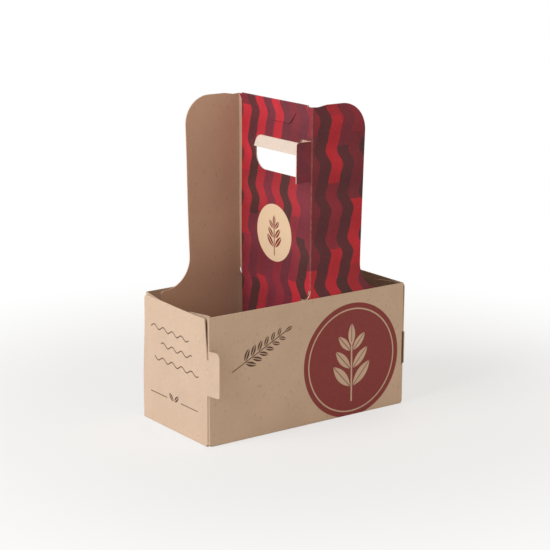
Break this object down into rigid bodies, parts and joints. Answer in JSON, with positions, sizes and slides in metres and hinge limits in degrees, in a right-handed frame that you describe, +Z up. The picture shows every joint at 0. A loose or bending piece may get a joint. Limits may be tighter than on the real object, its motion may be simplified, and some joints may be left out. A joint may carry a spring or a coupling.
{
  "type": "cardboard cup carrier",
  "caption": "Open kraft tray with a Z-folded divider glued inside, rising to a hand hole between wings, for carrying takeaway cups upright.",
  "frame": {"origin": "middle of the footprint, on the surface the tray stands on", "axes": "+X along the tray to the right, +Y to the back, +Z up; the front wall faces -Y"},
  "size_m": [0.1722, 0.107, 0.226],
  "materials": {
    "kraft_board": "uncoated natural kraft, matte, with plain dark print fields",
    "printed_red_board": "kraft board printed in reds on its outer face, matte; inner face and cut edges bare kraft"
  },
  "bodies": {
    "root": {"outer_tray": "kraft_board", "handle_divider": "printed_red_board"}
  },
  "joints": []
}
